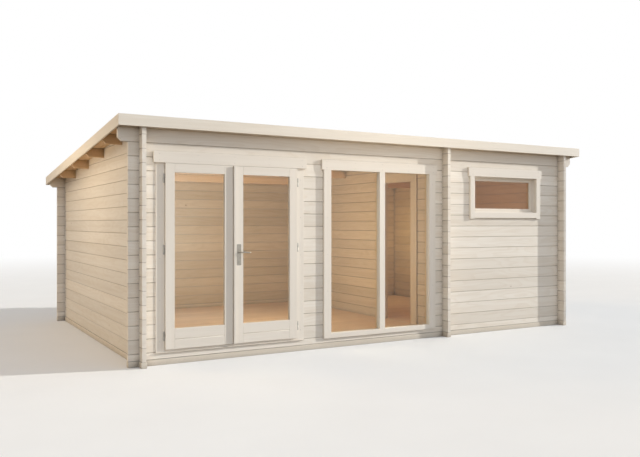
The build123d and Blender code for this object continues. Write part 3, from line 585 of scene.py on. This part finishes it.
def turned(bm, foot, axis, profile, segments=20):
    """A round part: steps of (height, radius) turned about an axis from its foot."""
    axis = Vector(axis).normalized()
    side = axis.orthogonal().normalized()
    rings = []
    for height, radius in profile:
        middle = Vector(foot) + axis * height
        if radius == 0:
            rings.append([bm.verts.new(middle)])
            continue
        turn = 2 * math.pi / segments
        rings.append([
            bm.verts.new(middle + (Quaternion(axis, n * turn) @ side) * radius)
            for n in range(segments)
        ])
    for low, high in zip(rings, rings[1:]):
        for n in range(segments):
            m = (n + 1) % segments
            ways = ((low, n), (low, m), (high, m), (high, n))
            corners = dict.fromkeys(ring[k % len(ring)] for ring, k in ways)
            bm.faces.new(list(corners)).smooth = True


def screw(bm, place, normal, radius):
    """Countersunk head with its socket."""
    steps = [
        (-0.0006, 0), (-0.0006, radius * 0.9), (0.0003, radius), (0.0007, radius * 0.9),
        (0.0009, radius * 0.55), (0.0001, radius * 0.42), (0.0, 0),
    ]
    turned(bm, place, normal, steps, 12)


def bead_ring(bm, x0, x1, z0, z1, face_y):
    """Four mitred beads on the room side of a frame, round its opening."""
    width, depth = 0.012, 0.003
    profile = [(0.1, -0.2), (1, -0.2), (1, 0.3), (0.86, 0.66), (0.5, 0.93), (0.1, 1)]
    corners = [(x0, z0, -1, -1), (x1, z0, 1, -1), (x1, z1, 1, 1), (x0, z1, -1, 1)]
    for here, there in zip(corners, corners[1:] + corners[:1]):
        skin(bm, [
            [
                bm.verts.new((x + out_x * u * width, face_y + v * depth, z + out_z * u * width))
                for u, v in profile
            ]
            for x, z, out_x, out_z in (here, there)
        ])


def keep(node, finish):
    """A CAD solid keeps its shape and gets a finish."""
    for slot in nodes[node].material_slots:
        slot.link = "OBJECT"
        slot.material = finish


for node in (
    "front_sill_log", "front_wall_left", "front_wall_middle", "front_wall_under_window",
    "front_wall_beside_window", "front_wall_over_openings", "front_top_log", "back_wall",
    "back_top_log",
):
    keep(node, log_long)
for node in ("left_wall", "right_wall", "partition_front", "partition_back", "partition_over"):
    keep(node, log_cross)
for node in ("left_leaf_glass", "right_leaf_glass", "window_glass", "small_window_glass"):
    keep(node, clear_glass)

for node in ("base_long_beams", "base_cross_beams", "floor_joists"):
    dressed(node, base_wood, width=0.003)
for node in ("purlin_1", "purlin_2", "purlin_3", "purlin_4"):
    dressed(node, roof_wood, width=0.003)
for node in ("fascia_front", "fascia_back", "fascia_left", "fascia_right"):
    dressed(node, fascia_wood, width=0.002)
for node in (
    "doorway_sides", "doorway_head_and_sill", "door_jambs", "door_frame_head", "door_threshold",
    "door_head_board", "window_jambs", "window_frame_rails", "window_mullion",
    "window_head_board", "small_window_jambs", "small_window_frame_rails",
    "small_window_head_board", "left_leaf_stiles", "right_leaf_stiles",
):
    dressed(node, joinery)
for node in ("left_leaf_rails", "right_leaf_rails"):
    dressed(node, joinery, drawn_back=0.0008)
dressed("small_sash_stiles", sash_wood)
dressed("small_sash_rails", sash_wood, drawn_back=0.0008)


def roof_height(y):
    """Height of the roof boards' lower face."""
    return ROOF_FRONT - (y + SHELL_Y) * ROOF_SLOPE


# Roof boards, side by side from the front to the back, with their lower edges bevelled
DECK_LEFT, DECK_FRONT, DECK_BACK = -3.301, -2.151, 2.151
BOARD_RISE = 0.019 * ROOF_TILT
ROOF_BOARDS = 76
BEVEL, OPEN_JOINT = 0.005, 0.0004

bm = bmesh.new()
pitch = -2 * DECK_LEFT / ROOF_BOARDS
for n in range(ROOF_BOARDS):
    x0 = DECK_LEFT + n * pitch + (OPEN_JOINT if n else 0)
    x1 = DECK_LEFT + (n + 1) * pitch - (OPEN_JOINT if n < ROOF_BOARDS - 1 else 0)
    section = [
        (x0 + BEVEL, 0), (x1 - BEVEL, 0), (x1, BEVEL), (x1, BOARD_RISE), (x0, BOARD_RISE),
        (x0, BEVEL),
    ]
    for ring in prism(bm, "Y", DECK_FRONT, DECK_BACK, section):
        for v in ring:
            v.co.z += roof_height(v.co.y)
piece("roof_boards_laid", bm, roof_wood, "cabin", ["roof_boards"])

# Felt in strips along the front, each lapped over the next one down the slope
FELT_STRIPS, FELT_LAP, FELT_THICK = 5, 0.09, 0.0018
FELT_STATIONS = 90
bm = bmesh.new()
depth = (DECK_BACK - DECK_FRONT) / FELT_STRIPS
dice = random.Random("felt")
for n in range(FELT_STRIPS):
    y0 = DECK_FRONT + n * depth
    lap = y0 + depth
    rows = []
    sway = 0.0
    for k in range(FELT_STATIONS + 1):
        x = DECK_LEFT * (1 - 2 * k / FELT_STATIONS)
        sway = 0.8 * sway + dice.uniform(-0.0012, 0.0012)
        if n == FELT_STRIPS - 1:
            line = [(y0, 0.0), (DECK_BACK, 0.0)]
        else:
            line = [
                (y0, 0.0), (lap - 0.03, 0.0), (lap + 0.004, FELT_THICK),
                (lap + FELT_LAP + sway, FELT_THICK),
            ]
        low = [(x, y, roof_height(y) + BOARD_RISE + h) for y, h in line]
        high = [(x, y, z + FELT_THICK) for x, y, z in low]
        rows.append([bm.verts.new(p) for p in low + high[::-1]])
    skin(bm, rows)
piece("roof_felt_strips", bm, roof_felt, "cabin", ["roof_covering"], grained=False)

# Floor boards across the joists, with butt joints over a joist
FLOOR_LOW, FLOOR_TOP, FLOOR_FRONT, FLOOR_DEPTH = 0.060, 0.079, -1.976, 3.952
FLOOR_BEVEL, FLOOR_PITCH, END_JOIST = 0.0025, 0.0867, 0.047
for room, x0, x1, joist_count in (
    ("large_room", -3.026, 0.882, 7), ("store_room", 0.936, 3.026, 4),
):
    bm = bmesh.new()
    rows = round(FLOOR_DEPTH / FLOOR_PITCH)
    pitch = FLOOR_DEPTH / rows
    dice = random.Random(room)
    first, step = x0 + END_JOIST, (x1 - x0 - 2 * END_JOIST) / (joist_count - 1)
    for n in range(rows):
        y0 = FLOOR_FRONT + n * pitch + OPEN_JOINT
        y1 = y0 + pitch - 2 * OPEN_JOINT
        section = [
            (y0, FLOOR_LOW), (y1, FLOOR_LOW), (y1, FLOOR_TOP - FLOOR_BEVEL),
            (y1 - FLOOR_BEVEL, FLOOR_TOP), (y0 + FLOOR_BEVEL, FLOOR_TOP),
            (y0, FLOOR_TOP - FLOOR_BEVEL),
        ]
        cut = first + step * dice.randint(1, joist_count - 2)
        prism(bm, "X", x0, cut - OPEN_JOINT, section)
        prism(bm, "X", cut + OPEN_JOINT, x1, section)
    piece("floor_boards_" + room, bm, floor_wood, "cabin", ["floor_boards"])


# Fillets that close the running gap round the leaves, behind the casing's face
DOOR_LEFT, DOOR_RIGHT, LEAF_TOP = -2.813, -1.258, 2.087
FILLET_WIDTH, FILLET_BACK, SIDE_FRONT, HEAD_FRONT = 0.0032, -2.019, -2.0305, -2.0555
GAP_LOW, GAP_HIGH = 0.151, 2.0915
bm = bmesh.new()
for x0, x1 in ((DOOR_LEFT, DOOR_LEFT + FILLET_WIDTH), (DOOR_RIGHT - FILLET_WIDTH, DOOR_RIGHT)):
    bar(bm, (x0, SIDE_FRONT, GAP_LOW), (x1, FILLET_BACK, GAP_HIGH))
bar(
    bm, (DOOR_LEFT + 0.004, HEAD_FRONT, LEAF_TOP + 0.0015),
    (DOOR_RIGHT - 0.004, FILLET_BACK, LEAF_TOP + 0.0054),
)
rounded(bm, 0.0006)
piece("door_gap_fillets", bm, joinery, "cabin")

# Glazing beads on the room side of every pane: left, right, foot and head of each opening, and
# the face that they stand on
LEAF_FRONT, LEAF_BACK, WINDOW_BACK, SASH_BACK = -2.057, -2.017, -1.965, -1.951
for name, body, slot, openings in (
    ("left_leaf_beads", "left_leaf", "door_wood", [(-2.710, -2.1515, 0.368, 1.995, LEAF_BACK)]),
    ("right_leaf_beads", "right_leaf", "door_wood", [(-1.9355, -1.361, 0.368, 1.995, LEAF_BACK)]),
    ("window_beads", "cabin", "trim_wood", [
        (-0.808, -0.116, 0.172, 2.092, WINDOW_BACK),
        (-0.038, 0.654, 0.172, 2.092, WINDOW_BACK),
    ]),
    ("small_sash_beads", "cabin", "door_wood", [(1.490, 2.503, 1.667, 2.038, SASH_BACK)]),
):
    bm = bmesh.new()
    for opening in openings:
        bead_ring(bm, *opening)
    piece(name, bm, joinery, body)

# Hinges: barrels with domed ends and a washer between them, on round pins into the wood
HINGE_LEVELS = (0.295, 1.190, 1.932)
HINGE_Y, HINGE_RADIUS, BARREL, PIN_RADIUS = -2.041, 0.008, 0.050, 0.0034
DOMED = [
    (0, 0), (0.0002, 0.0030), (0.0010, 0.0052), (0.0024, 0.0068), (0.0045, 0.0077),
    (0.0070, 0.0080), (0.0486, 0.0080), (0.0492, 0.0074), (0.0492, 0),
]


def rod(radius, length):
    """Steps of a plain round rod."""
    return [(0, 0), (0, radius), (length, radius), (length, 0)]


WASHER = rod(0.0068, 0.0006)
lower = bmesh.new()
for name, hinge_x, side in (
    ("left", DOOR_LEFT - HINGE_RADIUS, 1), ("right", DOOR_RIGHT + HINGE_RADIUS, -1),
):
    upper = bmesh.new()
    for level in HINGE_LEVELS:
        turned(lower, (hinge_x, HINGE_Y, level - BARREL), (0, 0, 1), DOMED)
        turned(lower, (hinge_x, HINGE_Y, level - 0.0008), (0, 0, 1), WASHER)
        turned(upper, (hinge_x, HINGE_Y, level + BARREL), (0, 0, -1), DOMED)
        for rise in (0.014, 0.038):
            low_pin, high_pin = rod(PIN_RADIUS, HINGE_RADIUS), rod(PIN_RADIUS, 0.013)
            turned(lower, (hinge_x, HINGE_Y, level - rise), (0, 1, 0), low_pin, 12)
            turned(upper, (hinge_x, HINGE_Y, level + rise), (side, 0, 0), high_pin, 12)
    piece(
        name + "_hinge_upper_barrels", upper, hinge_steel, name + "_leaf",
        [name + "_hinge_knuckles"], False,
    )
piece("hinge_lower_barrels", lower, hinge_steel, "cabin", ["hinge_pins"], False)

# Handle: a long plate with round corners on each face, with its cylinder and screws
HANDLE_X, LEVER_Z, KEY_Z = -1.9855, 1.148, 1.054
PLATE, PLATE_HALF, PLATE_CORNER = 0.003, 0.025, 0.009
PLATE_LOW, PLATE_HIGH = 1.006, 1.236
OUTWARD, INWARD = -1, 1


def round_corners(x0, x1, z0, z1, radius, steps=5):
    """Outline of a rectangle with round corners."""
    corners = [
        (x1 - radius, z1 - radius, 0), (x0 + radius, z1 - radius, 90),
        (x0 + radius, z0 + radius, 180), (x1 - radius, z0 + radius, 270),
    ]
    points = []
    for x, z, start in corners:
        for n in range(steps + 1):
            angle = math.radians(start + 90 * n / steps)
            points.append((x + radius * math.cos(angle), z + radius * math.sin(angle)))
    return points


def cylinder_half(side):
    """Outline of one half of a profile cylinder, beside its key slot."""
    slot, radius, stem, drop, corner = 0.0007, 0.0085, 0.005, 0.0245, 0.003
    points = [(slot, radius)]
    for n in range(9):
        angle = math.radians(84 - n * 17)
        points.append((radius * math.cos(angle), radius * math.sin(angle)))
    points += [(stem, corner - drop), (corner, -drop), (slot, -drop)]
    return [(HANDLE_X + side * x, KEY_Z + z) for x, z in points]


def plate_face(out):
    """Where the handle plate's face lies, outside or in the room."""
    return LEAF_FRONT - PLATE if out == OUTWARD else LEAF_BACK + PLATE


bm = bmesh.new()
outline = round_corners(
    HANDLE_X - PLATE_HALF, HANDLE_X + PLATE_HALF, PLATE_LOW, PLATE_HIGH, PLATE_CORNER,
)
for out in (OUTWARD, INWARD):
    face = plate_face(out)
    prism(bm, "Y", *sorted((face, face - out * PLATE)), outline)
    for side in (-1, 1):
        prism(bm, "Y", *sorted((face, face + out * 0.0016)), cylinder_half(side))
rounded(bm, 0.0006, 50.0)
for out in (OUTWARD, INWARD):
    face = plate_face(out)
    turned(bm, (HANDLE_X, face, LEVER_Z), (0, out, 0), [
        (0, 0), (0, 0.0125), (0.0014, 0.0125), (0.0024, 0.0112), (0.0026, 0.0088), (0.0026, 0),
    ], 32)
    for z in (PLATE_LOW + 0.010, PLATE_HIGH - 0.010):
        screw(bm, (HANDLE_X, face, z), (0, out, 0), 0.0034)
piece(
    "handle_plate_pair", bm, handle_steel, "right_leaf",
    ["handle_plates"], False,
)


def lever(bm, out):
    """Lever that leaves the plate, bends and runs along the leaf to a rounded end."""
    stand_off, elbow, neck, segments = 0.048, 0.013, 0.0066, 16
    face = plate_face(out)
    grip_y = face + out * stand_off
    path = [(0, face + out * 0.0005, neck), (0, grip_y - out * elbow, neck)]
    for n in range(1, 8):
        angle = math.radians(90 * n / 8)
        path.append((
            elbow * (1 - math.cos(angle)), grip_y - out * elbow * (1 - math.sin(angle)),
            neck + 0.0012 * n / 8,
        ))
    path += [(elbow, grip_y, 0.0078), (0.05, grip_y, 0.0080), (0.100, grip_y, 0.0076)]
    for angle in (0.0, 0.5, 0.95, 1.3):
        path.append((0.110 + 0.008 * math.sin(angle), grip_y, 0.0074 * math.cos(angle)))
    rings = []
    for n, (x, y, radius) in enumerate(path):
        before, after = path[max(n - 1, 0)], path[min(n + 1, len(path) - 1)]
        run = Vector((after[0] - before[0], after[1] - before[1], 0)).normalized()
        across = Vector((-run.y, run.x, 0))
        ring = []
        for k in range(segments):
            angle = 2 * math.pi * k / segments
            reach = across * math.cos(angle) + Vector((0, 0, math.sin(angle)))
            ring.append(bm.verts.new(Vector((HANDLE_X + x, y, LEVER_Z)) + reach * radius))
        rings.append(ring)
    skin(bm, rings, smooth=True)


bm = bmesh.new()
for out in (OUTWARD, INWARD):
    lever(bm, out)
piece("handle_lever_pair", bm, handle_steel, "lever", ["handle_lever"], False)

# Lock plate on the edge of the right leaf, and its keep on the left leaf
LOCK_FRONT, LOCK_MIDDLE, LOCK_BACK, LOCK_STANDS = -2.046, -2.036, -2.026, 0.0008
for name, body, x, out, z0, z1 in (
    ("lock_plate", "right_leaf", -2.0505, -1, 1.000, 1.240),
    ("lock_keep", "left_leaf", -2.0565, 1, 1.030, 1.210),
):
    bm = bmesh.new()
    face = x + out * LOCK_STANDS
    x0, x1 = sorted((x - out * 0.001, face))
    bar(bm, (x0, LOCK_FRONT, z0), (x1, LOCK_BACK, z1))
    rounded(bm, 0.0005)
    for z in (z0 + 0.012, z1 - 0.012):
        screw(bm, (face, LOCK_MIDDLE, z), (out, 0, 0), 0.0026)
    piece(name, bm, handle_steel, body, grained=False)

# Screws of the casings and head boards
DOOR_CASING_FACE, DOOR_HEAD_FACE, WINDOW_TRIM_FACE = -2.033, -2.057, -2.053
LOWEST_SCREW, SCREW_STEP = 0.24, 0.43
places = [
    (x, y, LOWEST_SCREW + n * SCREW_STEP)
    for x, y in (
        (-2.862, DOOR_CASING_FACE), (-1.210, DOOR_CASING_FACE),
        (-0.857, WINDOW_TRIM_FACE), (0.703, WINDOW_TRIM_FACE),
    )
    for n in range(5)
]
places += [(x, WINDOW_TRIM_FACE, z) for x in (1.383, 2.610) for z in (1.60, 1.83, 2.04)]
for x0, x1, y, count in (
    (-2.87, -1.20, DOOR_HEAD_FACE, 5), (-0.87, 0.716, WINDOW_TRIM_FACE, 5),
    (1.39, 2.61, WINDOW_TRIM_FACE, 4),
):
    step = (x1 - x0) / (count - 1)
    places += [(x0 + n * step, y, z) for n in range(count) for z in (2.118, 2.184)]
bm = bmesh.new()
for place in places:
    screw(bm, place, (0, -1, 0), 0.003)
piece("trim_screws", bm, hinge_steel, "cabin", grained=False)


# Camera, light and ground


def lamp(kind, name, strength, colour, towards=(0, 0, 1), **settings):
    """A lamp that shines from a direction."""
    light = bpy.data.lights.new(name, kind)
    light.energy = strength
    light.color = colour
    for setting, value in settings.items():
        setattr(light, setting, value)
    made = bpy.data.objects.new(name, light)
    made.rotation_mode = "QUATERNION"
    made.rotation_quaternion = Vector(towards).to_track_quat("Z", "Y")
    bpy.context.scene.collection.objects.link(made)
    return made


def sun(name, towards, strength, colour, spread):
    """A far lamp, whose spread in degrees softens its shadows."""
    return lamp("SUN", name, strength, colour, towards, angle=math.radians(spread))


def place_unseen(made, place):
    """Puts a lamp in its place, where only its light shows."""
    made.location = place
    made.visible_camera = made.visible_glossy = made.visible_transmission = False


def share_out(light, pieces, state):
    """Keeps a lamp to some pieces, or keeps it off them."""
    group = bpy.data.collections.new(light.name + "_pieces")
    for made in pieces:
        group.objects.link(made)
    for entry in group.collection_objects:
        entry.light_linking.link_state = state
    light.light_linking.receiver_collection = group


def room_lamp(name, place, strength, colour):
    """A soft light inside a room."""
    place_unseen(lamp("POINT", name, strength, colour, shadow_soft_size=0.5), place)


def eave_lamp(name, place, aim, size, strength, colour):
    """A low board of light that shines up under an eave."""
    made = lamp(
        "AREA", name, strength, colour, Vector(place) - Vector(aim), shape="RECTANGLE",
        size=size[0], size_y=size[1], spread=math.radians(70),
    )
    place_unseen(made, place)


def seen_directly(tree):
    """Share of rays that look at the scene itself or at it through glass or in a gloss."""
    path = put(tree, "LightPath").outputs
    gloss = maths(tree, "MAXIMUM", path["Is Glossy Ray"], path["Is Transmission Ray"])
    return maths(tree, "MAXIMUM", path["Is Camera Ray"], gloss)


# The key light grazes the front, so the side that faces it gets a weaker one.
KEY_FROM, KEY_COLOUR = (3.6, -1.0, 1.12), (1.0, 0.98, 0.93)
right_side = [nodes["right_wall"], bpy.data.objects["fascia_right_boards"]]
share_out(sun("key_light", KEY_FROM, 3.55, KEY_COLOUR, 0.8), right_side, "EXCLUDE")
share_out(sun("right_side_light", KEY_FROM, 1.6, KEY_COLOUR, 0.8), right_side, "INCLUDE")
sun("left_fill", (-1.0, 0.9, 0.5), 0.65, (1.0, 0.68, 0.33), 30.0)
eave_lamp(
    "left_eave_light", (-5.6, 0.0, 0.15), (-3.2, 0.0, 2.35), (0.8, 4.0), 23.0, (0.98, 0.81, 0.58),
)
eave_lamp(
    "front_eave_light", (0.0, -5.6, 0.15), (0.0, -2.1, 2.40), (0.8, 7.0), 25.0, (1.0, 0.87, 0.68),
)
room_lamp("large_room_left_light", (-1.8, 0.8, 1.4), 32.0, (0.68, 0.90, 1.18))
room_lamp("large_room_light", (-0.8, -0.5, 1.35), 44.0, (1.0, 0.88, 0.64))
room_lamp("store_room_back_light", (2.2, 1.2, 1.3), 17.0, (1.0, 0.82, 0.44))
room_lamp("store_room_front_light", (2.0, -1.1, 1.3), 9.0, (1.0, 0.43, 0.07))

# Soft light from all round, warmer at the left; looked at directly, it is white
world = bpy.data.worlds.new("studio")
bpy.context.scene.world = world
world.use_nodes = True
sky = world.node_tree
sky.nodes.clear()
direction = put(sky, "TexCoord").outputs["Generated"]
facing = vectors(sky, "DOT_PRODUCT", direction, (-0.6, -0.8, 0.0))
leftward = ramp(sky, vectors(sky, "DOT_PRODUCT", direction, (-0.86, 0.51, 0.0)), 0.25, 0.9)
height = put(sky, "SeparateXYZ", {0: direction}).outputs[2]
band = ramp(sky, height, 0.50, 0.08)
strength = maths(sky, "MULTIPLY_ADD", facing, 0.24, 0.53)
strength = maths(sky, "MULTIPLY_ADD", band, 0.50, strength)
tint = blend(sky, leftward, (0.94, 1.01, 1.11, 1), (1.0, 0.82, 0.57, 1))
soft = put(sky, "Background", {"Color": tint, "Strength": strength}).outputs[0]
white = put(sky, "Background", {"Color": (1, 1, 1, 1), "Strength": 1.0}).outputs[0]
both = put(sky, "MixShader", {0: seen_directly(sky), 1: soft, 2: white}).outputs[0]
sky.links.new(both, sky.nodes.new("ShaderNodeOutputWorld").inputs["Surface"])

# Pale ground, which melts into the white round it
REACH = 120.0
ground_mesh = bpy.data.meshes.new("ground")
corners = [(-REACH, -REACH, 0), (REACH, -REACH, 0), (REACH, REACH, 0), (-REACH, REACH, 0)]
ground_mesh.from_pydata(corners, [], [(0, 1, 2, 3)])
ground = bpy.data.objects.new("ground", ground_mesh)
bpy.context.scene.collection.objects.link(ground)
ground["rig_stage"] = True
pale_floor, tree, shader = finish_named("pale_floor")
shader["Roughness"].default_value = 0.9
shader["Specular IOR Level"].default_value = 0.1
place = object_place(tree)
far = ramp(tree, vectors(tree, "LENGTH", place), 8.0, 26.0)
mottle = noise(tree, place, 1.4, 4.0)
seen = seen_directly(tree)
near = blend(tree, mottle, (0.86, 0.855, 0.845, 1), (0.90, 0.895, 0.885, 1))
tree.links.new(blend(tree, seen, (0.32, 0.275, 0.22, 1), near), shader["Base Color"])
glow = put(tree, "Emission", {"Color": (1, 1, 1, 1), "Strength": 1.0}).outputs[0]
surface = tree.nodes["Principled BSDF"].outputs[0]
mixed = put(tree, "MixShader", {0: maths(tree, "MULTIPLY", far, seen), 1: surface, 2: glow})
tree.links.new(mixed.outputs[0], tree.nodes["Material Output"].inputs["Surface"])
ground_mesh.materials.append(pale_floor)

# The view of the photo, as solved from the corners of the walls and the joints of the logs
view = bpy.data.cameras.new("photo_view")
view.sensor_width = 36.0
view.lens = 39.81
view.shift_y = -0.0076
view.clip_end = 400.0
camera = bpy.data.objects.new("photo_view", view)
camera.location = (-5.082, -9.191, 1.461)
camera.rotation_euler = (math.radians(90.0), 0.0, math.radians(-29.99))
bpy.context.scene.collection.objects.link(camera)
bpy.context.scene.camera = camera
bpy.context.scene.view_settings.view_transform = "Standard"

low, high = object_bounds()
